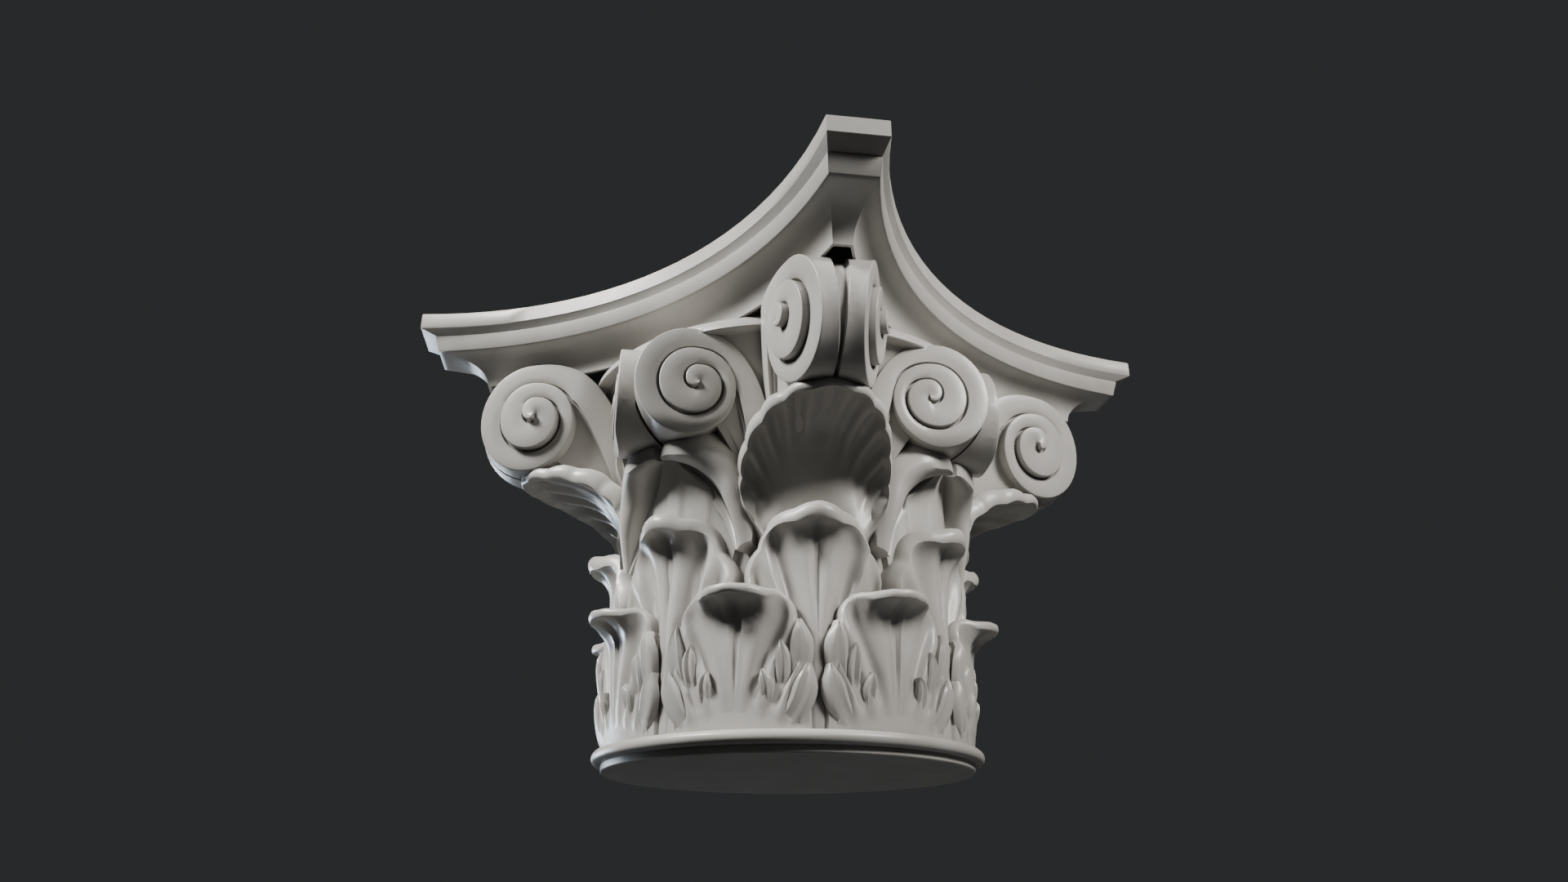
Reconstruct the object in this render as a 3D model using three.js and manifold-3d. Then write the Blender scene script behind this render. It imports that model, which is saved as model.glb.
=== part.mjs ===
// A carved column capital: a bell ringed by three tiers of leaves, paired scrolls under the
// horns and at the middle of each side, and a moulded abacus with four hollow sides.
// It is one closed solid. Lengths are millimetres, the axis is +Z, the underside lies on
// z = 0 and the four horns stand over the diagonals of X and Y.
import * as THREE from 'three';
import { mergeVertices } from 'three/addons/utils/BufferGeometryUtils.js';
import Module from 'manifold-3d';

const wasm = await Module();
wasm.setup();

// The capital repeats every quarter turn. Solids that join run this far into each other.
const QUARTER_TURN = 90;
const OVERLAP = 1;

// Foot and bead.
const FOOT_RADIUS = 150;
const FILLET_HEIGHT = 5.5;
const BEAD_HALF = 5;
const BEAD_REACH = 157.7;
const BEAD_ANGLES = [-75, -25, 25, 75];

// Bell: its wall flares to a thin lip, and a plain neck carries the abacus.
const BELL_RADIUS = 134;
const BELL_FLARE_START = 190;
const BELL_FLARE = 34;
const LIP_UNDER = 317;
const LIP_TOP = 327.2;
const LIP_REACH = 177.4;
const LIP_SET_BACK = 4.2;
const FLARE_STEPS = 3;
const ROUND_STEPS = 28;
const MERGE = 0.001;

// Abacus levels. Each has the reach of a horn along the diagonal, half the width of the
// horn's end, the distance from the axis to the middle of a side, and a height.
const TOP_BAND = { horn: 332.4, half: 22.1, side: 177, under: 374.8, top: 389.2 };
const LOWER_BAND = { horn: 318.9, half: 19.1, side: 174.2, top: 369.4 };
const LOWER_BAND_FOOT = { horn: 315, half: 18, side: 172.6, z: 354.8 };
const COVE_FOOT = { horn: 270.5, half: 7.3, side: 149.9, z: 329.3 };
const COVE_STEPS = 3;
const COVE_SWEEP = 86;
const COVE_OUT_SHARE = 0.96;
const COVE_LIFT_SHARE = 0.98;
const COVE_EDGE = 3;
const RECESS_ROOF = 3.8;
const RECESS_TOP = LOWER_BAND_FOOT.z - RECESS_ROOF;
const RECESS_CUT = 10;
const NECK_ROOT = 2;
const SIDE_STEPS = 6;

// Scrolls under the horns, set back from the foot of the cove. The face of each one leans
// away from the diagonal.
const VOLUTE_SET_BACK = 40.3;
const VOLUTE = {
  reach: COVE_FOOT.horn - VOLUTE_SET_BACK, height: 295.5, offset: 28.3, splay: 17.5, lean: 0.14,
  radius: 50.8, squeeze: 0.835, rise: 14,
  outer: [[-55, 52], [-88, 5], [-97, -62]], inner: [[-40, 12], [-60, -18], [-79, -64]],
};
const VOLUTE_SLOT = 6;
const VOLUTE_SLOT_FOOT = 0.8;
const VOLUTE_SLOT_DEPTH = 6;

// Scrolls at the middle of each side. They stand in planes square to the diagonal.
const HELIX = {
  reach: 152.3, height: 276.1, offset: 102.9,
  radius: 44.8, squeeze: 0.81, rise: 12,
  outer: [[-40, 45], [-62, 8], [-70, -67]], inner: [[-31, 6], [-42, -20], [-48, -60]],
};
const HELIX_SLOT = 2;
const HELIX_BACK = 104;

// Every scroll has two and a half turns. Each turn keeps its radius for half a turn and
// then draws in to the next one.
const TURN_SHARES = [1, 0.64, 0.32];
const EYE_SHARE = 0.1;
const SCROLL_TURNS = 2.5;
const SCROLL_STEP = 36;
const STEM_JOIN = 8;
const STEM_STEPS = 4;
const STEM_TAIL = 30;
const WEB_LEAVES = 6;
const WEB_DROP = 5;

// Leaves. A leaf climbs straight from its foot, bends outwards over an oval of the given
// reach and lift, and ends in an oval rim cut into lobes. The leaf under a horn stays behind
// the scrolls there.
const LOW_LEAF = {
  wall: 152, bend: 87, reach: 21, lift: 21, foot: 16, footHalf: 50, middle: 60,
  half: 54, tall: 66, sweep: 92, lobes: 3, thick: 9, roll: 3, flute: 4, notch: 0.07, wrap: 1,
};
const MID_LEAF = {
  wall: 147, bend: 145, reach: 24, lift: 24, foot: 80, footHalf: 34, middle: 139,
  half: 41, tall: 37, sweep: 100, lobes: 3, thick: 9, roll: 3, flute: 4, notch: 0.07, wrap: 1,
};
const HORN_LEAF_SHY = 127.2;
const HORN_LEAF = {
  wall: 146, bend: 186, reach: VOLUTE.reach - HORN_LEAF_SHY, lift: 58, foot: 150,
  footHalf: 26, middle: 221, half: 55, tall: 77, sweep: 125, lobes: 5, thick: 9, roll: 6,
  flute: 5, notch: 0.05, wrap: 0.5,
};
const HALF_LEAF = {
  wall: 148, bend: 195, reach: 34, lift: 40, foot: 140, footHalf: 12, middle: 183,
  half: 33, tall: 56, lobes: 3, thick: 9, roll: 4, flute: 4, notch: 0.05, wrap: 1,
  root: 40, centre: 32, from: -75, to: 105,
};
const RIB_ROWS = [0, 0.55, 0.86, 1];
const FLUTE_DEPTH = [0, 0.8, 1, 0];
const ROLL_REACH = [0, 0, 0.2, 1];
const LEAF_ROOT = 34;

const rad = (degrees) => degrees * Math.PI / 180;
const mix = (a, b, t) => a + (b - a) * t;

// A point given by its reach along a direction, its sideways distance and its height.
function place(angle, reach, side, z) {
  const c = Math.cos(rad(angle));
  const s = Math.sin(rad(angle));
  return [reach * c - side * s, reach * s + side * c, z];
}

// A closed solid from points and triangles, turned the right way out.
function solid(points, triangles) {
  let volume = 0;
  for (const [i, j, k] of triangles) {
    const [a, b, c] = [points[i], points[j], points[k]];
    volume += a[0] * (b[1] * c[2] - b[2] * c[1]) + a[1] * (b[2] * c[0] - b[0] * c[2])
      + a[2] * (b[0] * c[1] - b[1] * c[0]);
  }
  const turned = volume < 0 ? triangles.map(([i, j, k]) => [i, k, j]) : triangles;
  return new wasm.Manifold(new wasm.Mesh({
    numProp: 3,
    vertProperties: Float32Array.from(points.flat()),
    triVerts: Uint32Array.from(turned.flat()),
  }));
}

// Closed loops of equally many points, one above the other, joined by walls and two caps.
// Each cap is a fan around the middle of its loop.
function stack(loops) {
  const n = loops[0].length;
  const points = loops.flat();
  const triangles = [];
  for (let i = 0; i + 1 < loops.length; i += 1) {
    for (let j = 0; j < n; j += 1) {
      const k = (j + 1) % n;
      const [a, b, c, d] = [i * n + j, i * n + k, (i + 1) * n + k, (i + 1) * n + j];
      triangles.push([a, b, c], [a, c, d]);
    }
  }
  for (const [i, up] of [[0, false], [loops.length - 1, true]]) {
    const middle = points.length;
    const loop = loops[i];
    points.push([0, 1, 2].map((axis) => loop.reduce((sum, p) => sum + p[axis], 0) / n));
    for (let j = 0; j < n; j += 1) {
      const [a, b] = [i * n + j, i * n + (j + 1) % n];
      triangles.push(up ? [a, b, middle] : [b, a, middle]);
    }
  }
  return solid(points, triangles);
}

// A sheet with a front and a back grid of points, closed around its border.
function sheet(front, back) {
  const rows = front.length;
  const columns = front[0].length;
  const points = [...front.flat(), ...back.flat()];
  const half = rows * columns;
  const triangles = [];
  const at = (i, j) => i * columns + j;
  for (let i = 0; i + 1 < rows; i += 1) {
    for (let j = 0; j + 1 < columns; j += 1) {
      const [a, b, c, d] = [at(i, j), at(i, j + 1), at(i + 1, j + 1), at(i + 1, j)];
      triangles.push([a, b, c], [a, c, d]);
      triangles.push([half + a, half + c, half + b], [half + a, half + d, half + c]);
    }
  }
  const border = [];
  for (let j = 0; j < columns; j += 1) border.push(at(0, j));
  for (let i = 1; i < rows; i += 1) border.push(at(i, columns - 1));
  for (let j = columns - 2; j >= 0; j -= 1) border.push(at(rows - 1, j));
  for (let i = rows - 2; i > 0; i -= 1) border.push(at(i, 0));
  border.forEach((a, n) => {
    const b = border[(n + 1) % border.length];
    triangles.push([b, a, half + a], [b, half + a, half + b]);
  });
  return solid(points, triangles);
}

// A solid turned around the axis, from pairs of radius and height. The profile is closed on
// the axis, where the turned faces that have no width are left out.
function turned(profile, steps) {
  const line = [[0, profile[0][1]], ...profile, [0, profile.at(-1)[1]]];
  const lathe = new THREE.LatheGeometry(line.map(([r, z]) => new THREE.Vector2(r, z)), steps);
  lathe.rotateX(rad(QUARTER_TURN));
  lathe.deleteAttribute('normal');
  lathe.deleteAttribute('uv');
  const merged = mergeVertices(lathe, MERGE);
  const { array } = merged.getAttribute('position');
  const at = (i) => Array.from(array.subarray(3 * i, 3 * i + 3));
  const corners = Array.from(merged.getIndex().array);
  const triangles = [];
  for (let i = 0; i < corners.length; i += 3) {
    const [a, b, c] = corners.slice(i, i + 3);
    if (a !== b && b !== c && c !== a) triangles.push([a, b, c]);
  }
  return solid(Array.from({ length: array.length / 3 }, (_, i) => at(i)), triangles);
}

// The bead, bell, lip and neck.
function bell() {
  const centre = BEAD_REACH - BEAD_HALF;
  const middle = FILLET_HEIGHT + BEAD_HALF;
  const profile = [[FOOT_RADIUS, 0], [FOOT_RADIUS, FILLET_HEIGHT]];
  for (const a of BEAD_ANGLES) {
    profile.push([centre + BEAD_HALF * Math.cos(rad(a)), middle + BEAD_HALF * Math.sin(rad(a))]);
  }
  profile.push([BELL_RADIUS, middle + BEAD_HALF + OVERLAP]);
  for (let i = 0; i <= FLARE_STEPS; i += 1) {
    const t = i / FLARE_STEPS;
    const z = mix(BELL_FLARE_START, LIP_UNDER - OVERLAP, t);
    profile.push([BELL_RADIUS + BELL_FLARE * t * t, z]);
  }
  profile.push([LIP_REACH, LIP_UNDER], [LIP_REACH, mix(LIP_UNDER, LIP_TOP, 0.5)]);
  profile.push([LIP_REACH - LIP_SET_BACK, LIP_TOP]);
  profile.push([BELL_RADIUS, LIP_TOP], [BELL_RADIUS, RECESS_TOP + NECK_ROOT]);
  return turned(profile, ROUND_STEPS);
}

// The outline of the abacus at one level: four horns joined by hollow arcs.
function abacusLoop({ horn, half, side }, z) {
  const loop = [];
  for (let k = 0; k < 4; k += 1) {
    const a = place(QUARTER_TURN * (k - 0.5), horn, half, z);
    const b = place(QUARTER_TURN * (k + 0.5), horn, -half, z);
    const reach = Math.hypot((a[0] + b[0]) / 2, (a[1] + b[1]) / 2);
    const chord = Math.hypot(b[0] - a[0], b[1] - a[1]) / 2;
    const hollow = reach - side;
    const radius = (chord * chord + hollow * hollow) / (2 * hollow);
    const spread = Math.asin(chord / radius);
    for (let i = 0; i <= SIDE_STEPS; i += 1) {
      const angle = mix(-spread, spread, i / SIDE_STEPS);
      const out = side + radius - radius * Math.cos(angle);
      loop.push(place(QUARTER_TURN * k, out, radius * Math.sin(angle), z));
    }
  }
  return loop;
}

// The abacus, hollowed from below behind the edge of its cove.
function abacus() {
  const loops = [];
  for (let i = 0; i <= COVE_STEPS; i += 1) {
    const angle = rad(COVE_SWEEP * i / COVE_STEPS);
    const out = (1 - Math.cos(angle)) * COVE_OUT_SHARE;
    const level = {
      horn: mix(COVE_FOOT.horn, LOWER_BAND_FOOT.horn, out),
      half: mix(COVE_FOOT.half, LOWER_BAND_FOOT.half, out),
      side: mix(COVE_FOOT.side, LOWER_BAND_FOOT.side, out),
    };
    const lift = Math.sin(angle) * COVE_LIFT_SHARE;
    loops.push(abacusLoop(level, mix(COVE_FOOT.z, LOWER_BAND_FOOT.z, lift)));
  }
  loops.push(abacusLoop(LOWER_BAND_FOOT, LOWER_BAND_FOOT.z));
  loops.push(abacusLoop(LOWER_BAND, LOWER_BAND.top));
  loops.push(abacusLoop(TOP_BAND, TOP_BAND.under));
  loops.push(abacusLoop(TOP_BAND, TOP_BAND.top));
  const inner = {
    horn: COVE_FOOT.horn - COVE_EDGE,
    half: COVE_FOOT.half - COVE_EDGE,
    side: COVE_FOOT.side - COVE_EDGE,
  };
  const cut = [COVE_FOOT.z - RECESS_CUT, RECESS_TOP].map((z) => abacusLoop(inner, z));
  const recess = stack(cut);
  return stack(loops).subtract(recess);
}

// Radius of a scroll after a turn of the given angle, largest at the top of the outer turn.
function scrollRadius(s, angle) {
  const turn = Math.floor(angle / 360);
  const t = angle / 360 - turn;
  if (turn >= TURN_SHARES.length - 1) {
    return s.radius * mix(TURN_SHARES[turn], EYE_SHARE, t / (SCROLL_TURNS - turn));
  }
  const draw = THREE.MathUtils.smoothstep(t, 0.5, 1);
  return s.radius * mix(TURN_SHARES[turn], TURN_SHARES[turn + 1], draw);
}

function onScroll(s, angle, radius) {
  return [s.squeeze * radius * Math.sin(rad(angle)), radius * Math.cos(rad(angle))];
}

function curve(points, t) {
  return new THREE.CubicBezierCurve(...points.map((p) => new THREE.Vector2(...p)))
    .getPoint(t).toArray();
}

// A scroll with its stem. The band starts at the foot of the stem, rolls up turn by turn and
// rises towards the eye, so each inner turn stands out from the one around it. A web closes
// the space between the outer turn and the stem. `face` places a point of the drawing at a
// height above the face, and `back` places it on the rear of the solid.
function scroll(s, face, back) {
  const points = [];
  const triangles = [];
  const put = (p) => points.push(p) - 1;
  const fan = (...loop) => {
    for (let i = 1; i + 1 < loop.length; i += 1) triangles.push([loop[0], loop[i], loop[i + 1]]);
  };
  const perTurn = 360 / SCROLL_STEP;
  const last = SCROLL_TURNS * perTurn;
  const spiral = Array.from({ length: last + 1 }, (_, k) => (
    onScroll(s, k * SCROLL_STEP, scrollRadius(s, k * SCROLL_STEP))));
  const rise = (k) => s.rise * Math.max(0, k) / last;
  const top = spiral.map((p, k) => put(face(...p, rise(k))));
  const low = spiral.map((p, k) => (
    k < STEM_JOIN ? null : put(face(...p, rise(k - perTurn)))));
  const eye = put(face(0, 0, s.rise));

  // The band and the steps between its turns.
  for (let k = 0; k < last - perTurn; k += 1) {
    fan(top[k], top[k + 1], low[k + 1 + perTurn], low[k + perTurn]);
  }
  for (let k = last - perTurn; k < last; k += 1) fan(top[k], top[k + 1], eye);
  fan(top[last - perTurn], eye, low[last]);
  fan(top[last], low[last], eye);
  for (let k = STEM_JOIN; k < last; k += 1) fan(low[k], low[k + 1], top[k + 1], top[k]);

  // The stem lies against the outer turn down to where they part. From there its inner wall
  // and the wall of the outer turn both go down to the web.
  const along = perTurn - STEM_JOIN;
  const inner = spiral.slice(STEM_JOIN, perTurn + 1).reverse();
  for (let i = 1; i <= STEM_STEPS - along; i += 1) {
    inner.push(curve([spiral[STEM_JOIN], ...s.inner], i / (STEM_STEPS - along)));
  }
  const outer = inner.map((_, i) => curve([spiral[0], ...s.outer], i / STEM_STEPS));
  for (const edge of [outer, inner]) edge.push([edge.at(-1)[0], edge.at(-1)[1] - STEM_TAIL]);
  const end = STEM_STEPS + 1;
  const stemOuter = outer.map((p, i) => (i === 0 ? top[0] : put(face(...p, 0))));
  const stemInner = inner.map((p, i) => (i <= along ? low[perTurn - i] : put(face(...p, 0))));
  const stemWeb = inner.map((p, i) => (i < along ? null : put(face(...p, -WEB_DROP))));
  for (let i = 0; i < end; i += 1) {
    fan(stemOuter[i + 1], stemOuter[i], stemInner[i], stemInner[i + 1]);
    if (i >= along) fan(stemInner[i + 1], stemInner[i], stemWeb[i], stemWeb[i + 1]);
  }
  const discWeb = spiral.slice(0, STEM_JOIN).map((p, k) => (
    k < WEB_LEAVES ? null : put(face(...p, -WEB_DROP))));
  discWeb.push(stemWeb[along]);
  for (let k = WEB_LEAVES; k < STEM_JOIN; k += 1) {
    const corner = k + 1 === STEM_JOIN ? [low[k + 1]] : [];
    fan(top[k], discWeb[k], discWeb[k + 1], ...corner, top[k + 1]);
  }
  triangles.push(...cap([...spiral.slice(WEB_LEAVES, STEM_JOIN), ...inner.slice(along)],
    [...discWeb.slice(WEB_LEAVES, STEM_JOIN), ...stemWeb.slice(along)], true));

  // The walls to the rear and the rear itself.
  const rim = (stem, disc) => [...stem.slice(1).reverse(), ...disc.slice(0, WEB_LEAVES + 1)];
  const outline = [...rim(outer, spiral), inner[end]];
  const front = [...rim(stemOuter, top), stemInner[end]];
  const rear = outline.map((p) => put(back(...p)));
  const n = outline.length;
  for (let i = 0; i < n - 3; i += 1) fan(front[i], rear[i], rear[i + 1], front[i + 1]);
  fan(front[n - 3], rear[n - 3], rear[n - 2], discWeb[WEB_LEAVES], front[n - 2]);
  fan(discWeb[WEB_LEAVES], rear[n - 2], rear[n - 1], stemWeb[end]);
  fan(stemWeb[end], rear[n - 1], rear[0], front[0], front[n - 1]);
  triangles.push(...cap(outline, rear, false));
  return solid(points, triangles);
}

// Triangles over a flat loop, whose points already have their places in the solid.
function cap(loop, index, clockwise) {
  const flat = loop.map(([x, y]) => new THREE.Vector2(x, y));
  return THREE.ShapeUtils.triangulateShape(flat, []).map(([i, j, k]) => {
    const [p, q, r] = [flat[i], flat[j], flat[k]];
    const turn = (q.x - p.x) * (r.y - p.y) - (q.y - p.y) * (r.x - p.x) < 0;
    return turn === clockwise ? [index[i], index[j], index[k]] : [index[i], index[k], index[j]];
  });
}

// A scroll under a horn. `m` is -1 or 1 for the two sides of the diagonal.
function volute(angle, m) {
  const s = VOLUTE;
  const [c, d] = [Math.cos(rad(s.splay)), Math.sin(rad(s.splay))];
  const face = (a, b, h) => place(angle, s.reach + a * c + h * d,
    m * (s.offset - a * d + h * c + s.lean * b), s.height + b);
  const slot = (b) => mix(VOLUTE_SLOT_FOOT, VOLUTE_SLOT, Math.max(0, b / s.radius));
  const back = (a, b) => place(angle, s.reach + a * c, m * slot(b), s.height + b);
  return scroll(s, face, back);
}

// The wall between the two scrolls under a horn, set back to leave a slot between them.
function voluteCore(angle) {
  const s = VOLUTE;
  const loops = [-1, 1].map((m) => {
    const loop = [];
    for (let t = 0; t < 360; t += SCROLL_STEP) {
      const [a, b] = onScroll(s, t, scrollRadius(s, t) - VOLUTE_SLOT_DEPTH);
      loop.push(place(angle, s.reach + a, m * (VOLUTE_SLOT + OVERLAP), s.height + b));
    }
    return loop;
  });
  return stack(loops);
}

// A scroll at the middle of a side, on the side `m` of the diagonal at `angle`.
function helix(angle, m) {
  const s = HELIX;
  const face = (a, b, h) => place(angle, s.reach + h, m * (s.offset + a), s.height + b);
  const back = (a, b) => place(angle, Math.max(HELIX_BACK, s.offset + a + HELIX_SLOT),
    m * (s.offset + a), s.height + b);
  return scroll(s, face, back);
}

// The line a leaf follows as it climbs: reach, height, and the direction to its back.
function leafLine(leaf, y) {
  const t = Math.max(0, (y - leaf.bend) / ((leaf.reach + leaf.lift) / 2));
  const along = [leaf.reach * Math.sin(t), leaf.lift * Math.cos(t)];
  const length = Math.hypot(...along);
  return {
    reach: leaf.wall + leaf.reach * (1 - Math.cos(t)),
    z: Math.min(y, leaf.bend) + leaf.lift * Math.sin(t),
    back: [-along[1] / length, along[0] / length],
    bend: t,
  };
}

// A leaf from its ribs: each rib runs from a point of the foot to a point of the rim.
function leaf(angle, spec, ribs) {
  const grid = (depth) => RIB_ROWS.map((s, row) => ribs.map(({ foot, rim, lobe }) => {
    const x = mix(foot[0], rim[0], s);
    const line = leafLine(spec, mix(foot[1], rim[1], s));
    const flute = FLUTE_DEPTH[row] * spec.flute * lobe;
    const shift = flute - ROLL_REACH[row] * spec.roll + depth(s);
    const wrap = spec.wrap * x * x / (2 * spec.wall);
    return place(angle, line.reach - wrap + shift * line.back[0], x,
      line.z + shift * line.back[1]);
  }));
  return sheet(grid(() => 0), grid((s) => spec.thick + LEAF_ROOT * (1 - s * s)));
}

function lobeRibs(spec, foot, rim) {
  const count = 2 * spec.lobes;
  return Array.from({ length: count + 1 }, (_, i) => {
    const lobe = i % 2;
    const cut = 1 - spec.notch * (1 - lobe);
    const from = foot(i / count);
    const to = rim(i / count);
    return { foot: from, rim: [0, 1].map((axis) => mix(from[axis], to[axis], cut)), lobe };
  });
}

function wholeLeaf(angle, spec) {
  return leaf(angle, spec, lobeRibs(spec,
    (u) => [mix(-spec.footHalf, spec.footHalf, u), spec.foot],
    (u) => {
      const sweep = rad(mix(-spec.sweep, spec.sweep, u));
      return [spec.half * Math.sin(sweep), spec.middle + spec.tall * Math.cos(sweep)];
    }));
}

// Half a leaf beside the middle of a side, with its root towards the horn.
function halfLeaf(angle, m) {
  const spec = HALF_LEAF;
  return leaf(angle, spec, lobeRibs(spec,
    (u) => [m * (spec.root + mix(-spec.footHalf, spec.footHalf, u)), spec.foot],
    (u) => {
      const sweep = rad(mix(spec.from, spec.to, u));
      return [m * (spec.centre + spec.half * Math.sin(sweep)),
        spec.middle + spec.tall * Math.cos(sweep)];
    }));
}

const pieces = [bell(), abacus()];
for (let k = 0; k < 4; k += 1) {
  const horn = QUARTER_TURN * (k - 0.5);
  const side = QUARTER_TURN * k;
  pieces.push(voluteCore(horn), wholeLeaf(horn, HORN_LEAF));
  pieces.push(wholeLeaf(horn, MID_LEAF), wholeLeaf(side, MID_LEAF));
  for (const m of [-1, 1]) {
    pieces.push(volute(horn, m), helix(horn, m));
    pieces.push(halfLeaf(side, m), wholeLeaf(horn + m * QUARTER_TURN / 4, LOW_LEAF));
  }
}
const result = pieces.reduce((sum, piece) => sum.add(piece)).getMesh();

// The shells of the joined mesh. Pockets sealed in behind the leaves are left out, so that
// the stone there is solid.
function outerTriangles({ numProp, numVert, vertProperties, triVerts }) {
  const parent = Array.from({ length: numVert }, (_, i) => i);
  const root = (i) => {
    let r = i;
    while (parent[r] !== r) r = parent[r];
    while (parent[i] !== r) [parent[i], i] = [r, parent[i]];
    return r;
  };
  for (let i = 0; i < triVerts.length; i += 3) {
    parent[root(triVerts[i + 1])] = root(triVerts[i]);
    parent[root(triVerts[i + 2])] = root(triVerts[i]);
  }
  const at = (i) => vertProperties.subarray(numProp * i, numProp * i + 3);
  const volume = new Map();
  for (let i = 0; i < triVerts.length; i += 3) {
    const [a, b, c] = [0, 1, 2].map((j) => new THREE.Vector3(...at(triVerts[i + j])));
    const shell = root(triVerts[i]);
    volume.set(shell, (volume.get(shell) ?? 0) + a.dot(b.cross(c)) / 6);
  }
  return Array.from(triVerts).filter((_, i) => volume.get(root(triVerts[i - i % 3])) > 0);
}

const kept = outerTriangles(result);
const geometry = new THREE.BufferGeometry();
const position = new Float32Array(result.numVert * 3);
for (let i = 0; i < result.numVert; i += 1) {
  for (let axis = 0; axis < 3; axis += 1) {
    position[3 * i + axis] = result.vertProperties[result.numProp * i + axis];
  }
}
geometry.setAttribute('position', new THREE.BufferAttribute(position, 3));
geometry.setIndex(kept);
const stone = new THREE.MeshStandardMaterial({ color: 0xcdc8c0, roughness: 0.5 });
const capital = new THREE.Mesh(geometry, stone);
capital.name = 'capital';
const group = new THREE.Group();
group.add(capital);
export default group;
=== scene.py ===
import math
import bpy
import numpy as np
from mathutils import Matrix, Vector


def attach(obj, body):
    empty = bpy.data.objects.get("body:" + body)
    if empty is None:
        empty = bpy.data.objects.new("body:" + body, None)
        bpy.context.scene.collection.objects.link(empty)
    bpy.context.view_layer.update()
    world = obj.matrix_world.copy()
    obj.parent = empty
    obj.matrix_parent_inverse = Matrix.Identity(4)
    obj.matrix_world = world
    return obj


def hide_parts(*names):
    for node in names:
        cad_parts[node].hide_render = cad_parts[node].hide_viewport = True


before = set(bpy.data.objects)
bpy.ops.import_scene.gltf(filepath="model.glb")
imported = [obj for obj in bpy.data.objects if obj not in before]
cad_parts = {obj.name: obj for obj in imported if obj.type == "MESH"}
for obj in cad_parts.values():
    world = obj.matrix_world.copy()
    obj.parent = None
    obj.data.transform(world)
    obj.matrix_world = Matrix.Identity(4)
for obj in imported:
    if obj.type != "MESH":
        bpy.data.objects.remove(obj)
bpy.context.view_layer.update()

# Foot, bead and bell.
FOOT_RADIUS = 150
FILLET_HEIGHT = 5.5
BEAD_HALF = 5
BEAD_REACH = 157.7
BELL_RADIUS = 134
BELL_FLARE_START = 190
BELL_FLARE = 34
LIP_UNDER = 317
LIP_TOP = 327.2
LIP_REACH = 177.4
LIP_SET_BACK = 4.2
ROUND_STEPS = 96
LIP_SHOULDER = (0.2, 0.6)
BEAD_SWEEP = 84
BEAD_STEPS = 12
FLARE_STEPS = 8

# Abacus levels: reach of a horn, half the width of its end, reach of a side's middle, height.
TOP_BAND = (332.4, 22.1, 177.0)
TOP_BAND_Z = (374.8, 389.2)
LOWER_BAND = (318.9, 19.1, 174.2)
LOWER_BAND_TOP = 369.4
LOWER_BAND_FOOT = (315.0, 18.0, 172.6)
LOWER_BAND_FOOT_Z = 354.8
COVE_FOOT = (270.5, 7.3, 149.9)
COVE_FOOT_Z = 329.3
COVE_EDGE = 3
RECESS_TOP = 351
ARRIS = 0.8
END_GROWTH = 0.4
COVE_STEPS = 10
COVE_SWEEP = 86
COVE_OUT_SHARE = 0.96
COVE_LIFT_SHARE = 0.98
SIDE_STEPS = 24

# Scrolls. A turn keeps its radius for most of its way and then draws in to the next one.
# `squeeze` is the width of a turn for its height, `rise` is how far the eye stands out, `eye`
# is where the eye lies from the middle, `outer` and `inner` are the lines of the stem, and
# `tail` is how far its foot goes on. `splay_end` is where the splay of a volute stops.
VOLUTE = dict(reach=229, height=291, offset=28.3, splay=17.5, splay_end=-46, lean=0.14,
              radius=47.5, squeeze=0.93, rise=13, eye=(-8, -1),
              outer=[(-55, 52), (-88, 5), (-97, -62)],
              inner=[(-40, 12), (-60, -18), (-79, -64)], tail=6)
# The stem of a helix sinks towards its foot.
HELIX = dict(reach=152.3, height=276.1, offset=99.5, radius=44.8, squeeze=0.91, rise=5,
             eye=(-9, -3), outer=[(-40, 45), (-62, 8), (-70, -67)],
             inner=[(-31, 6), (-42, -20), (-48, -60)], tail=10, sink=14)
HELIX_SLOT = 2
HELIX_BACK = 104
# The channel between two volutes: half its width, its depth, and how it opens at its lips.
SLOT_TOP = 6.5
SLOT_DEPTH = 4.5
SLOT_MIN = 0.12
SLOT_SECTION = ((8, 1, 6), (0.5, 1, 1.6), (-1, 1, 0.4), (-2.5, 1, 0), (-SLOT_DEPTH, 0.8, 0))
TURN_SHARES = (1, 0.62, 0.3)
DRAW_START = 0.6
EYE_SHARE = 0.1
SCROLL_TURNS = 2.5
PER_TURN = 40
STEM_JOIN = 32
STEM_STEPS = 22
EDGE_ROUND = 1.0
GROOVE_WIDTH = 2.2
GROOVE_DEPTH = 3.6
BAND_DEPTH = 14
BAND_CROWN = 0.5
WEB_DROP = 4
WEB_TURN = 0.6


def mix(a, b, t):
    return a + (b - a) * t


def smooth(t, low=0.0, high=1.0):
    t = np.clip((np.asarray(t, float) - low) / (high - low), 0, 1)
    return t * t * (3 - 2 * t)


def place(angle, reach, side, z):
    """Points given by their reach along a direction, their sideways distance and height."""
    c, s = math.cos(math.radians(angle)), math.sin(math.radians(angle))
    reach, side, z = np.broadcast_arrays(*(np.asarray(v, float) for v in (reach, side, z)))
    return np.stack([reach * c - side * s, reach * s + side * c, z], axis=-1)


# Closed meshes and their joins.

def solid(points, faces):
    """An object from points and faces of a closed surface, turned the right way out."""
    points = np.asarray(points, float)
    volume = 0
    for face in faces:
        a = points[face[0]]
        for j, k in zip(face[1:], face[2:]):
            volume += a @ np.cross(points[j], points[k])
    if volume < 0:
        faces = [tuple(reversed(face)) for face in faces]
    mesh = bpy.data.meshes.new("part")
    mesh.from_pydata(points.tolist(), [], [tuple(map(int, face)) for face in faces])
    part = bpy.data.objects.new("part", mesh)
    bpy.context.scene.collection.objects.link(part)
    return part


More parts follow.
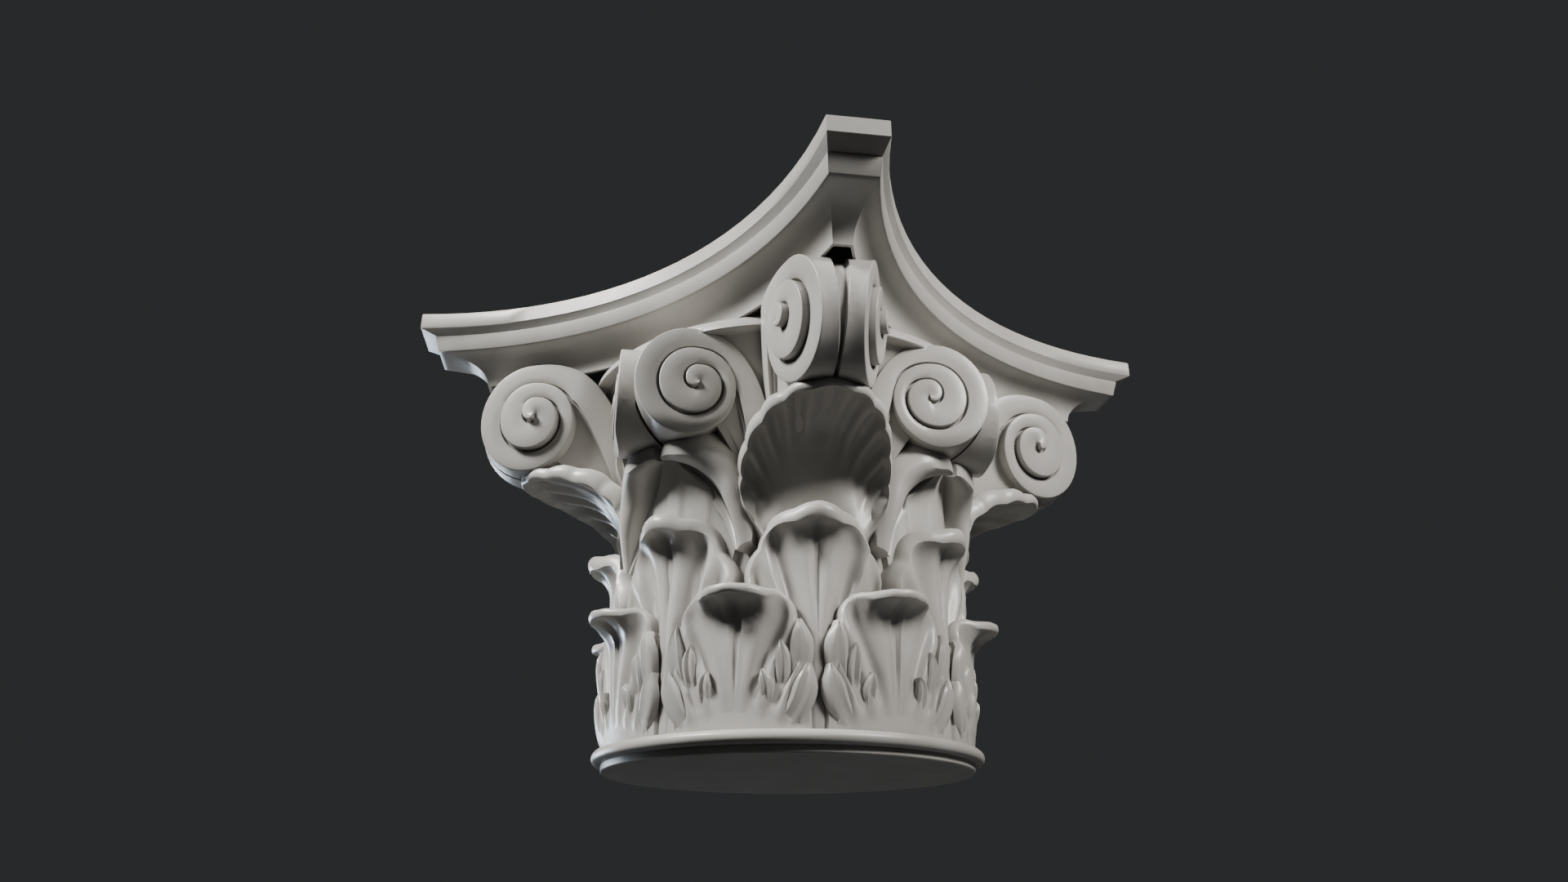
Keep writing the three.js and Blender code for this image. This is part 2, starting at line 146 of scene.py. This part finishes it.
def loft(loops, caps="fan"):
    """A solid through closed loops of equally many points."""
    loops = np.asarray(loops, float)
    rows, n = loops.shape[:2]
    points = list(loops.reshape(-1, 3))
    faces = []
    for i in range(rows - 1):
        for j in range(n):
            k = (j + 1) % n
            faces.append((i * n + j, i * n + k, (i + 1) * n + k, (i + 1) * n + j))
    for row, up in ((0, False), (rows - 1, True)):
        ring = [row * n + j for j in range(n)]
        ring = ring if up else ring[::-1]
        if caps == "flat":
            faces.append(tuple(ring))
            continue
        middle = len(points)
        points.append(loops[row].mean(axis=0))
        faces += [(ring[j], ring[(j + 1) % n], middle) for j in range(n)]
    return solid(points, faces)


def combine(parts, operation="UNION"):
    """Joins the parts, or cuts the later ones from the first, into one closed mesh."""
    first, *others = parts
    for other in others:
        step = first.modifiers.new("join", "BOOLEAN")
        step.object = other
        step.operation = operation
        step.solver = "MANIFOLD"
    shown = first.evaluated_get(bpy.context.evaluated_depsgraph_get())
    mesh = bpy.data.meshes.new_from_object(shown)
    first.modifiers.clear()
    first.data = mesh
    for other in others:
        bpy.data.objects.remove(other)
    return first


def join_all(parts):
    """Joins many parts, a few at a time."""
    while len(parts) > 1:
        parts = [combine(parts[i:i + 6]) for i in range(0, len(parts), 6)]
    return parts[0]


def copy(part, matrix):
    mesh = part.data.copy()
    mesh.transform(matrix)
    if matrix.determinant() < 0:
        mesh.flip_normals()
    twin = bpy.data.objects.new("part", mesh)
    bpy.context.scene.collection.objects.link(twin)
    return twin


def turn(degrees):
    return Matrix.Rotation(math.radians(degrees), 4, "Z")


def mirror(degrees):
    """The mirror image across the upright plane through the axis in that direction."""
    return turn(degrees) @ Matrix.Diagonal((1, -1, 1, 1)) @ turn(-degrees)


# Bell and abacus.

def bell():
    centre = BEAD_REACH - BEAD_HALF
    middle = FILLET_HEIGHT + BEAD_HALF
    profile = [(FOOT_RADIUS - ARRIS, 0), (FOOT_RADIUS, ARRIS), (FOOT_RADIUS, FILLET_HEIGHT)]
    for a in np.radians(np.linspace(-BEAD_SWEEP, BEAD_SWEEP, BEAD_STEPS + 1)):
        profile.append((centre + BEAD_HALF * math.cos(a), middle + BEAD_HALF * math.sin(a)))
    profile.append((BELL_RADIUS, middle + BEAD_HALF + 1))
    for t in np.linspace(0, 1, FLARE_STEPS + 1):
        profile.append((BELL_RADIUS + BELL_FLARE * t * t, mix(BELL_FLARE_START, LIP_UNDER - 1, t)))
    profile += [(LIP_REACH - ARRIS, LIP_UNDER), (LIP_REACH, LIP_UNDER + ARRIS)]
    back, up = LIP_SHOULDER
    profile.append((LIP_REACH - back * LIP_SET_BACK, mix(LIP_UNDER, LIP_TOP, up)))
    profile += [(LIP_REACH - LIP_SET_BACK, LIP_TOP), (BELL_RADIUS, LIP_TOP)]
    profile.append((BELL_RADIUS, RECESS_TOP + 2))
    turns = np.arange(ROUND_STEPS) * 360 / ROUND_STEPS
    return loft([[place(a, r, 0, z) for a in turns] for r, z in profile])


def abacus_loop(level, z):
    """The outline of a level: four hollow arcs between the ends of the horns."""
    horn, half, side = level
    loop = []
    for k in range(4):
        a, b = place(90 * k - 45, horn, half, z), place(90 * k + 45, horn, -half, z)
        reach = math.hypot(*((a + b) / 2)[:2])
        chord = math.hypot(*(b - a)[:2]) / 2
        hollow = reach - side
        radius = (chord ** 2 + hollow ** 2) / (2 * hollow)
        spread = math.asin(chord / radius)
        angles = np.linspace(-spread, spread, SIDE_STEPS + 1)
        loop += list(place(90 * k, side + radius - radius * np.cos(angles),
                           radius * np.sin(angles), z))
    return loop


def grown(level, by):
    horn, half, side = level
    return horn + by, half + by * END_GROWTH, side + by


def abacus():
    loops = []
    for t in np.linspace(0, 1, COVE_STEPS + 1):
        angle = math.radians(COVE_SWEEP * t)
        out = (1 - math.cos(angle)) * COVE_OUT_SHARE
        up = math.sin(angle) * COVE_LIFT_SHARE
        level = [mix(a, b, out) for a, b in zip(COVE_FOOT, LOWER_BAND_FOOT)]
        loops.append(abacus_loop(level, mix(COVE_FOOT_Z, LOWER_BAND_FOOT_Z, up)))
    z = LOWER_BAND_FOOT_Z
    loops.append(abacus_loop(grown(LOWER_BAND_FOOT, -ARRIS), z))
    loops.append(abacus_loop(LOWER_BAND_FOOT, z + ARRIS))
    loops.append(abacus_loop(LOWER_BAND, LOWER_BAND_TOP - ARRIS))
    loops.append(abacus_loop(grown(LOWER_BAND, -ARRIS), LOWER_BAND_TOP))
    for i, z in enumerate(TOP_BAND_Z):
        inner, rim = grown(TOP_BAND, -ARRIS), TOP_BAND
        pair = [(inner, z), (rim, z + ARRIS)] if i == 0 else [(rim, z - ARRIS), (inner, z)]
        loops += [abacus_loop(*level) for level in pair]
    edge = grown(COVE_FOOT, -COVE_EDGE)
    recess = loft([abacus_loop(edge, COVE_FOOT_Z - 10), abacus_loop(edge, RECESS_TOP)])
    return combine([loft(loops), recess], "DIFFERENCE")


# Scrolls.

def scroll_radius(s, step):
    """The outer radius of the band at a step of the turns."""
    turn_number, t = divmod(step / PER_TURN, 1)
    turn_number = int(turn_number)
    if turn_number >= len(TURN_SHARES) - 1:
        share = mix(TURN_SHARES[-1], EYE_SHARE, t / (SCROLL_TURNS - turn_number))
        return s["radius"] * share
    draw = float(smooth(t, DRAW_START, 1))
    return s["radius"] * mix(TURN_SHARES[turn_number], TURN_SHARES[turn_number + 1], draw)


def on_scroll(s, step, radius):
    """A point of the drawing at that step and radius. Inner turns move towards the eye."""
    angle = math.radians(360 * step / PER_TURN)
    drawn = 1 - min(radius / s["radius"], 1)
    flat = np.array([s["squeeze"] * radius * math.sin(angle), radius * math.cos(angle)])
    return flat + drawn * np.array(s["eye"], float)


def bezier(points, t):
    u = 1 - t
    weights = (u ** 3, 3 * u * u * t, 3 * u * t * t, t ** 3)
    return sum(w * np.asarray(p, float) for w, p in zip(weights, points))


def scroll_lines(s):
    """The outer and the inner line of the band, by steps. Steps under 0 are the stem."""
    last = int(SCROLL_TURNS * PER_TURN)
    spiral = {k: on_scroll(s, k, scroll_radius(s, k)) for k in range(last + 1)}
    outer, inner = dict(spiral), {}
    for i in range(1, STEM_STEPS + 1):
        outer[-i] = bezier([spiral[0], *s["outer"]], i / STEM_STEPS)
    along = PER_TURN - STEM_JOIN
    for k in range(-STEM_STEPS, last + 1):
        if k < -along:
            t = (-k - along) / (STEM_STEPS - along)
            inner[k] = bezier([spiral[STEM_JOIN], *s["inner"]], t)
        elif k <= last - PER_TURN:
            inner[k] = spiral[k + PER_TURN]
        else:
            inner[k] = np.array(s["eye"], float)
    for line in (outer, inner):
        line[-STEM_STEPS - 1] = line[-STEM_STEPS] - (0, s["tail"])
    return outer, inner, last


def band_section(a, b, level, eye):
    """Section of the band from its outer point to its inner one: points and heights."""
    width = max(np.linalg.norm(b - a), 1e-6)
    r = min(EDGE_ROUND, 0.3 * width)
    g = 0 if eye else min(GROOVE_WIDTH, 0.2 * width)
    e = 0.35 * r
    crown = BAND_CROWN
    rows = [(0, -BAND_DEPTH - level), (0, -r), (0.13 * r, -0.5 * r), (0.5 * r, -0.13 * r), (r, 0),
            (mix(r, width - g - e, 0.33), crown), (mix(r, width - g - e, 0.66), crown),
            (width - g - e, 0), (width - g, -e), (width - g, -GROOVE_DEPTH),
            (width, -GROOVE_DEPTH), (width, -BAND_DEPTH - level)]
    if eye:
        rows[-3:-1] = [(width, 0.0), (width, -GROOVE_DEPTH)]
        rows[-4] = (width - 0.1 * width, 0.1)
    return [(a + (b - a) * d / width, h + level) for d, h in rows]


def scroll(s, face, back):
    """A scroll with its stem. `face` places a point of the drawing at a height above the
    face, and `back` places it on the rear."""
    outer, inner, last = scroll_lines(s)
    rise = lambda k: s["rise"] * max(0, k) / last
    parts = []
    for start, stop in ((-STEM_STEPS - 1, 0), (0, PER_TURN), (PER_TURN, last)):
        loops = []
        for k in range(start, stop + 1):
            eye = k > last - PER_TURN
            section = band_section(outer[k], inner[k], rise(k), eye)
            loops.append([face(*p, h) for p, h in section])
        parts.append(loft(loops))
    outline = [outer[k] for k in range(-STEM_STEPS - 1, int(WEB_TURN * PER_TURN) + 1)]
    outline.append(inner[-STEM_STEPS - 1])
    front = [face(*p, -WEB_DROP) for p in outline]
    rear = [back(*p) for p in outline]
    parts.append(loft([front, rear], caps="flat"))
    return parts


def volutes(angle):
    """The pair of scrolls under a horn, with a channel between them."""
    s = VOLUTE
    c, d = math.cos(math.radians(s["splay"])), math.sin(math.radians(s["splay"]))

    def face(a, b, h):
        side = s["offset"] - max(a, s["splay_end"]) * d
        return place(angle, s["reach"] + a * c + h * d, side + h * c + s["lean"] * b,
                     s["height"] + b)

    def back(a, b):
        return place(angle, s["reach"] + a * c, -1.0, s["height"] + b)

    one = combine(scroll(s, face, back))
    pair = combine([one, copy(one, mirror(angle))])
    loops = []
    for step in range(-8, int(0.5 * PER_TURN) + 3):
        radius = scroll_radius(s, max(step, 0))
        share = max(SLOT_MIN, math.cos(math.radians(360 * step / PER_TURN)) * 0.5 + 0.5)
        half = SLOT_TOP * share
        section = [(depth, wide * half + more) for depth, wide, more in SLOT_SECTION]
        section += [(depth, -side) for depth, side in reversed(section)]
        loop = []
        for depth, side in section:
            a, b = on_scroll(s, step, radius + depth)
            loop.append(place(angle, s["reach"] + a * c, side, s["height"] + b))
        loops.append(loop)
    return combine([pair, loft(loops)], "DIFFERENCE")


def helix(angle):
    """The scroll at the middle of a side, on the left of the diagonal at that angle."""
    s = HELIX

    def face(a, b, h):
        sunk = s["sink"] * float(smooth(-b / s["radius"], 0.7, 1.6))
        return place(angle, s["reach"] + h - sunk, s["offset"] + a, s["height"] + b)

    def back(a, b):
        rear = max(HELIX_BACK, s["offset"] + a + HELIX_SLOT)
        return place(angle, rear, s["offset"] + a, s["height"] + b)

    return combine(scroll(s, face, back))


# Leaves. A leaf is drawn flat, and then climbs straight at the reach `wall` up to the height
# `bend`, and bends outwards over an oval, `reach` out and `lift` up.
#   side_bend: how much higher the bend starts at the sides, and between which two distances
#     from the middle it rises
#   foot, foot_half, gather: height and half width of the foot, and how far the ribs gather
#     towards its middle
#   upright: how far up the ribs leave the foot upright, before they swing out to the rim
#   notches: the notches of the lobes on one side, from the tip outwards
#   bulge: how far each lobe bulges between its notches, from the tip outwards
#   thick: depth of the edge at the tip and at the sides
#   flute: depth of the hollows between the ribs, and where they start and are full
#   body, ripple: share of that depth in the tip lobe, and how much it ripples
#   hollow, roll: how far the body lies back, and how far the rim rolls forwards
#   sink: how deep the foot lies and up to where, and how deep the sides lie and from where
#   wrap: how much of the roundness of the bell the leaf follows
#   spine: height of the middle rib, and half its width below and above
LOW_LEAF = dict(wall=152, bend=88, side_bend=(22, 22, 40), reach=21, lift=20,
                foot=14, foot_half=46, gather=1.2, upright=0.45,
                notches=[(25, 112), (42, 90), (47, 62), (44, 38)], bulge=[0.2, 0.2, 0.16, 0.1],
                thick=(7, 15), flute=(5.5, 0.1, 0.55), body=0.5, ripple=0.3, hollow=0,
                roll=1.5, sink=(4, 0.2, 1, 0.8), wrap=1, spine=(0, 1, 1))
MID_LEAF = dict(wall=147, bend=142, side_bend=(8, 14, 42), reach=24, lift=25,
                foot=14, foot_half=34, gather=1.6, upright=0.5,
                notches=[(18, 171), (41, 143), (47, 112), (46, 76)],
                bulge=[0.2, 0.15, 0.14, 0.1], thick=(13, 24), flute=(7, 0.3, 0.75),
                body=0.85, ripple=0.16, hollow=1, roll=4, sink=(2, 0.5, 5, 0.7), wrap=1,
                spine=(4, 7, 12))
HORN_LEAF = dict(wall=146, bend=186, side_bend=(0, 0, 1), reach=103, lift=58,
                 foot=130, foot_half=30, gather=1, upright=0.5,
                 notches=[(15, 295), (33, 282), (46, 262), (54, 236), (56, 206), (52, 172)],
                 bulge=[0.13, 0.13, 0.12, 0.1, 0.08, 0.08], thick=(8, 16),
                 flute=(5, 0.5, 0.9), body=0.9, ripple=0.12, hollow=6, roll=6,
                 sink=(13, 0.5, 0, 1), wrap=0.5, spine=(0, 1, 1))
# The leaf at the middle of a side: a body with a soft spine, and two crescents that spring
# from roots near the horns and meet at the tip. The rim and the inner line of a crescent are
# curves from its root to the tip.
CALYX_BODY = dict(wall=146, bend=195, side_bend=(0, 0, 1), reach=34, lift=40,
                  foot=100, foot_half=40, gather=1, upright=0.3,
                  notches=[(6, 228), (30, 200), (50, 160)], bulge=[0.2, -0.1, -0.1],
                  thick=(12, 14), flute=(0, 0, 1), body=1, ripple=0, hollow=0, roll=0,
                  sink=(3, 0.5, 8, 0.3), wrap=1, spine=(2.5, 8, 8))
CRESCENT_RIM = [(62, 150), (70, 204), (44, 256), (3, 234)]
CRESCENT_INNER = [(54, 146), (42, 176), (24, 200), (0, 222)]
CRESCENT_FACE = ((0, 6), (0.08, 8), (0.14, 8), (0.19, 6), (0.24, 7.5), (0.29, 5), (0.33, 0),
                 (0.38, -4.5), (0.46, -8), (0.58, -11), (0.72, -12.5), (0.87, -12.5), (1, -9))
CRESCENT_EDGE = ((1.6, -5), (2.8, -1), (3.2, 4), (2.6, 9), (1, 15))
CRESCENT_REAR = 26
CRESCENT_STEPS = 26
CRESCENT_LOBES = 3.5
CRESCENT_FORWARD = 2
# Where the points of a rib lie from foot to rim, round the edge, and back to the foot.
RIB_FRONT = (0, 0.12, 0.24, 0.35, 0.45, 0.54, 0.62, 0.69, 0.75, 0.81, 0.86, 0.9, 0.935, 0.965,
             0.985, 1)
RIB_EDGE = ((0.06, 0.07), (0.16, 0.13), (0.3, 0.18), (0.5, 0.2), (0.72, 0.14), (0.92, 0.03))
RIB_REAR = (0.98, 0.8, 0.5, 0.2, 0)
RIB_SWAY = 0.1
LOBE_STEPS = 9
RIPPLES = 3
LEAF_ROOT = 24

# The plain skirt behind a low leaf, which closes the foot of the bell.
SKIRT = dict(LOW_LEAF, wall=151, foot=8, foot_half=50, gather=1, upright=0, sink=(0, 0.5, 0, 1),
             notches=[(12, 38), (28, 58), (47, 74), (51, 40), (52, 8)],
             bulge=[0.0, 0.0, 0.0, 0.04, 0.0], thick=(10, 10), flute=(0, 0.2, 0.7), hollow=0,
             roll=0)
# Small flames on the flanks of a low leaf: root, bend, tip, half width and lift.
FLAMES = (
    ((36, 34), (51, 60), (46, 91), 8, 8), ((29, 36), (38, 54), (33, 76), 6, 6.5),
    ((26, 14), (50, 26), (52, 60), 8.5, 7), ((17, 26), (27, 40), (20, 56), 5.4, 6),
)
FLAME_ROWS = 14
FLAME_SECTION = ((-1, 0), (-0.85, 0.75), (-0.5, 1), (0, 0.75), (0.5, 1), (0.85, 0.75), (1, 0),
                 (0, -1))
FLAME_SINK = 5

# Edges with more of an angle than this stay crisp.
SHARP_EDGE = 38

# The camera stands below the foot of the capital, as in the photograph.
CAMERA_PLACE = (0.5355, -0.7190, -0.0940)
CAMERA_LOOK = (-0.5503, 0.7338, 0.3984)
CAMERA_LENS = 24.44
SENSOR_WIDTH = 36

# Lights: place, aim, size, power and colour.
LIGHTS = {
    "key": ((-0.6, -1.2, 1.4), (0, 0, 0.24), 0.5, 4.2, (1, 0.98, 0.95)),
    "second": ((1.45, -0.05, 1.1), (0, 0, 0.24), 0.5, 2.2, (1, 0.97, 0.93)),
    "rim": ((-1.5, 0.1, 0.1), (0, 0, 0.25), 0.6, 1.2, (0.75, 0.86, 1)),
}
LIGHT_SPREAD = 42
AIR_COLOUR = (0.8, 0.82, 0.85, 1)
AIR_STRENGTH = 0.035
# The camera looks up from below the foot, so the floor lies well under the part.
FLOOR_HALF = 6
FLOOR_Z = -1.2
FLOOR_COLOUR = (0.75, 0.75, 0.75, 1)
FLOOR_ROUGHNESS = 0.9


def leaf_line(leaf, x, y):
    """The line a leaf follows as it climbs: reach, height, and the direction to its back."""
    more, start, end = leaf["side_bend"]
    bend = leaf["bend"] + more * smooth(abs(x), start, end)
    t = np.maximum(0, (y - bend) / ((leaf["reach"] + leaf["lift"]) / 2))
    along_reach, along_z = leaf["reach"] * np.sin(t), leaf["lift"] * np.cos(t)
    length = np.hypot(along_reach, along_z)
    reach = leaf["wall"] + leaf["reach"] * (1 - np.cos(t))
    z = np.minimum(y, bend) + leaf["lift"] * np.sin(t)
    return reach, z, -along_z / length, along_reach / length


def on_leaf(angle, leaf, x, y, depth):
    """Places a point of the flat leaf, `depth` behind its face."""
    reach, z, back_reach, back_z = leaf_line(leaf, x, y)
    wrap = leaf["wrap"] * x * x / (2 * leaf["wall"])
    return place(angle, reach - wrap + depth * back_reach, x, z + depth * back_z)


def rim_points(corners, bulges):
    """Points round the lobes with, for each, its place across a lobe: 0 at the notches."""
    points, lobe = [], []
    for (a, b), bulge in zip(zip(corners, corners[1:]), bulges):
        a, b = np.asarray(a, float), np.asarray(b, float)
        out = np.array([a[1] - b[1], b[0] - a[0]]) * bulge
        for t in np.arange(LOBE_STEPS) / LOBE_STEPS:
            points.append(mix(a, b, t) + out * (1 - abs(2 * t - 1) ** 2.2))
            lobe.append(math.sin(math.pi * t) ** 2)
    return np.array(points + [np.asarray(corners[-1], float)]), np.array(lobe + [0.0])


def leaf_mesh(angle, leaf, feet, rim, lobe, hollow, thick):
    """A leaf through its ribs, each given by its foot and rim, its place across a lobe, how
    far it lies back and how thick its edge is."""
    swing = feet + (rim - feet) * np.array([RIB_SWAY, leaf["upright"]])
    u = np.linspace(-1, 1, len(rim))

    def on_rib(s):
        if not leaf["upright"]:
            return mix(feet, rim, s)
        return mix(mix(feet, swing, s), mix(swing, rim, s), s)

    def face_depth(s, x):
        amount, start, full = leaf["flute"]
        body = hollow * smooth(s, 0.3, 0.8) * (1 - smooth(s, 0.94, 1))
        flute = amount * smooth(s, start, full) * (1 - 0.75 * smooth(s, 0.9, 1))
        height, low, high = leaf["spine"]
        spread = mix(low, high, smooth(s, 0.5, 0.9))
        spine = height * np.exp(-(x / spread) ** 4) * (1 - smooth(s, 0.8, 0.95))
        sink_foot, foot_end, sink_side, side_start = leaf["sink"]
        sides = smooth(abs(u), side_start - 0.001, 1)
        sink = sink_foot * (1 - smooth(s, 0, foot_end)) + sink_side * sides
        roll = leaf["roll"] * smooth(s, 0.7, 1) * (1 - sides)
        return body + flute * (lobe - 0.4) - spine + sink - roll

    rows = []
    for s in RIB_FRONT:
        line = on_rib(s)
        rows.append(on_leaf(angle, leaf, line[:, 0], line[:, 1], face_depth(s, line[:, 0])))
    step = rim - on_rib(0.9)
    along = step / np.linalg.norm(step, axis=1)[:, None]
    edge = face_depth(1, rim[:, 0])
    for q, out in RIB_EDGE:
        point = rim + along * (out * thick)[:, None]
        rows.append(on_leaf(angle, leaf, point[:, 0], point[:, 1], edge + q * thick))
    for s in RIB_REAR:
        line = on_rib(s)
        depth = edge * s + mix(thick + LEAF_ROOT, thick, smooth(s))
        rows.append(on_leaf(angle, leaf, line[:, 0], line[:, 1], depth))
    return loft(np.array(rows).transpose(1, 0, 2))


def whole_leaf(angle, leaf):
    right = leaf["notches"]
    corners = [(-x, y) for x, y in reversed(right)] + list(right)
    rim, lobe = rim_points(corners, leaf["bulge"][:0:-1] + leaf["bulge"])
    u = np.linspace(-1, 1, len(rim))
    tip = abs(u) < 1 / (len(corners) - 1)
    ripple = leaf["body"] + leaf["ripple"] * np.cos(RIPPLES * math.pi * u / u[tip].max())
    lobe = np.where(tip, lobe * ripple, lobe)
    feet_x = leaf["foot_half"] * np.sign(u) * abs(u) ** leaf["gather"]
    feet = np.stack([feet_x, np.full(len(rim), float(leaf["foot"]))], axis=1)
    hollow = leaf["hollow"] * (1 - smooth(abs(u), 0.8, 1))
    thick = mix(*map(float, leaf["thick"]), smooth(abs(u), 0.1, 0.6))
    return leaf_mesh(angle, leaf, feet, rim, lobe, hollow, thick)


def flame(angle, m, root, bend, tip, half, lift):
    """A small flame that grows out of the skirt and lifts off towards its tip."""
    root, bend, tip = (np.array([m * x, y], float) for x, y in (root, bend, tip))
    loops = []
    for t in np.linspace(0, 1, FLAME_ROWS):
        middle = mix(mix(root, bend, t), mix(bend, tip, t), t)
        along = mix(bend - root, tip - bend, t)
        across = np.array([along[1], -along[0]]) / np.linalg.norm(along)
        width = half * mix(0.7, 1, smooth(t, 0, 0.65)) * math.sqrt(1.04 - smooth(t, 0.7, 1))
        side, height = np.array(FLAME_SECTION).T
        rise = lift * smooth(t, 0, 0.9) * (1 - 0.35 * smooth(t, 0.9, 1))
        side = side * width
        depth = FLAME_SINK - rise - height * FLAME_SINK * mix(0.5, 1, smooth(t, 0, 0.5))
        x, y = middle[0] + across[0] * side, middle[1] + across[1] * side
        loops.append(on_leaf(angle, SKIRT, x, y, depth))
    return loft(np.array(loops))


def low_leaf(angle):
    parts = [whole_leaf(angle, LOW_LEAF), whole_leaf(angle, SKIRT)]
    parts += [flame(angle, m, *spec) for spec in FLAMES for m in (-1, 1)]
    return join_all(parts)


def crescent(angle, m):
    """One half of the leaf at the middle of a side, on the side `m` of its middle."""
    loops = []
    for t in np.linspace(0, 1, CRESCENT_STEPS + 1):
        rim, inner = (np.array(bezier(line, t)) for line in (CRESCENT_RIM, CRESCENT_INNER))
        across = (rim - inner) / np.linalg.norm(rim - inner)
        relief = smooth(t, -0.1, 0.35) * (1 - 0.45 * smooth(t, 0.75, 1))
        wave = abs(math.sin(CRESCENT_LOBES * math.pi * t)) ** 0.6
        lobes = 1 + 0.9 * wave * smooth(t, 0.1, 0.3)
        points = [(*mix(inner, rim + across * lobes, share), depth * relief)
                  for share, depth in CRESCENT_FACE]
        points += [(*(rim + across * (lobes + out)), depth * relief)
                   for out, depth in CRESCENT_EDGE]
        points.append((*rim, CRESCENT_REAR))
        points.append((*inner, CRESCENT_REAR))
        x, y, depth = np.array(points).T
        loops.append(on_leaf(angle, CALYX_BODY, m * x, y, depth - CRESCENT_FORWARD))
    return loft(np.array(loops))


def calyx(angle):
    """The leaf at the middle of a side."""
    return join_all([whole_leaf(angle, CALYX_BODY), crescent(angle, -1), crescent(angle, 1)])


def capital():
    """The whole piece. Each form is made once and then turned and mirrored into its places."""
    parts = [bell(), abacus()]
    low = low_leaf(22.5)
    mid = whole_leaf(0, MID_LEAF)
    horn = whole_leaf(45, HORN_LEAF)
    middle = calyx(0)
    pair = volutes(45)
    side = helix(45)
    for k in range(4):
        r = turn(90 * k)
        parts += [copy(low, r), copy(low, r @ mirror(45)), copy(mid, r), copy(mid, r @ turn(45))]
        parts += [copy(horn, r), copy(middle, r)]
        parts += [copy(pair, r), copy(side, r), copy(side, r @ mirror(45))]
    for source in (low, mid, horn, middle, pair, side):
        bpy.data.objects.remove(source)
    return join_all(parts)


def finish_mesh(part):
    """Millimetres to metres, smooth faces, and crisp edges where two forms meet."""
    part.data.transform(Matrix.Scale(0.001, 4))
    mesh = part.data
    mesh.polygons.foreach_set("use_smooth", [True] * len(mesh.polygons))
    mesh.set_sharp_from_angle(angle=math.radians(SHARP_EDGE))
    mesh.update()


def stone():
    """Pale satin stone, softly mottled, with painted shade darkening its hollows."""
    material = bpy.data.materials.new("stone")
    material.use_nodes = True
    nodes, links = material.node_tree.nodes, material.node_tree.links
    shader = nodes["Principled BSDF"]
    place_at = nodes.new("ShaderNodeTexCoord").outputs["Object"]

    def noise(scale, detail):
        node = nodes.new("ShaderNodeTexNoise")
        node.inputs["Scale"].default_value = scale
        node.inputs["Detail"].default_value = detail
        links.new(place_at, node.inputs["Vector"])
        return node.outputs["Fac"]

    def ramp(value, *stops):
        node = nodes.new("ShaderNodeValToRGB")
        for element, (position, colour) in zip(node.color_ramp.elements, stops):
            element.position = position
            element.color = (*colour, 1)
        links.new(value, node.inputs["Fac"])
        return node.outputs["Color"]

    mottle = ramp(noise(22, 6), (0.3, (0.52, 0.505, 0.475)), (0.7, (0.62, 0.605, 0.575)))
    # Painted shade: ambient occlusion darkens the base colour in hollows, creases and under
    # overhangs.
    painted_shade_ao = nodes.new("ShaderNodeAmbientOcclusion")
    painted_shade_ao.samples = 8
    painted_shade_ao.inputs["Distance"].default_value = 0.016
    painted_shade = ramp(painted_shade_ao.outputs["AO"], (0.2, (0.6, 0.595, 0.59)), (0.9, (1, 1, 1)))
    colour = nodes.new("ShaderNodeMix")
    colour.data_type = "RGBA"
    colour.blend_type = "MULTIPLY"
    colour.inputs["Factor"].default_value = 1
    links.new(mottle, colour.inputs["A"])
    links.new(painted_shade, colour.inputs["B"])
    links.new(colour.outputs["Result"], shader.inputs["Base Color"])
    gloss = ramp(noise(60, 4), (0.3, (0.28, 0.28, 0.28)), (0.75, (0.4, 0.4, 0.4)))
    links.new(gloss, shader.inputs["Roughness"])
    bump = nodes.new("ShaderNodeBump")
    bump.inputs["Strength"].default_value = 0.12
    bump.inputs["Distance"].default_value = 0.0006
    links.new(noise(260, 5), bump.inputs["Height"])
    links.new(bump.outputs["Normal"], shader.inputs["Normal"])
    return material


def camera():
    data = bpy.data.cameras.new("camera")
    data.lens = CAMERA_LENS
    data.sensor_width = SENSOR_WIDTH
    view = bpy.data.objects.new("camera", data)
    bpy.context.scene.collection.objects.link(view)
    view.location = CAMERA_PLACE
    view.rotation_mode = "QUATERNION"
    view.rotation_quaternion = Vector(CAMERA_LOOK).to_track_quat("-Z", "Y")
    bpy.context.scene.camera = view


def area_light(name, place_at, aim, size, power, colour):
    data = bpy.data.lights.new(name, "AREA")
    data.size = size
    data.energy = power
    data.color = colour
    data.spread = math.radians(LIGHT_SPREAD)
    lamp = bpy.data.objects.new(name, data)
    bpy.context.scene.collection.objects.link(lamp)
    lamp.location = place_at
    lamp.rotation_mode = "QUATERNION"
    lamp.rotation_quaternion = (Vector(aim) - Vector(place_at)).to_track_quat("-Z", "Y")


def studio():
    """A plain floor, a little light from all round, and three soft lamps."""
    floor_mesh = bpy.data.meshes.new("floor")
    half, low = FLOOR_HALF, FLOOR_Z
    floor_mesh.from_pydata([(-half, -half, low), (half, -half, low), (half, half, low),
                            (-half, half, low)], [], [(0, 1, 2, 3)])
    floor = bpy.data.objects.new("floor", floor_mesh)
    bpy.context.scene.collection.objects.link(floor)
    paint = bpy.data.materials.new("pale_floor")
    paint.use_nodes = True
    shader = paint.node_tree.nodes["Principled BSDF"]
    shader.inputs["Base Color"].default_value = FLOOR_COLOUR
    shader.inputs["Roughness"].default_value = FLOOR_ROUGHNESS
    floor_mesh.materials.append(paint)
    world = bpy.data.worlds.new("studio")
    world.use_nodes = True
    air = world.node_tree.nodes["Background"]
    air.inputs["Color"].default_value = AIR_COLOUR
    air.inputs["Strength"].default_value = AIR_STRENGTH
    bpy.context.scene.world = world
    for name, lamp in LIGHTS.items():
        area_light(name, *lamp)


piece = capital()
finish_mesh(piece)
piece.name = piece.data.name = "carved_capital"
piece.data.materials.clear()
piece.data.materials.append(stone())
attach(piece, "root")
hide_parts("capital")
camera()
studio()
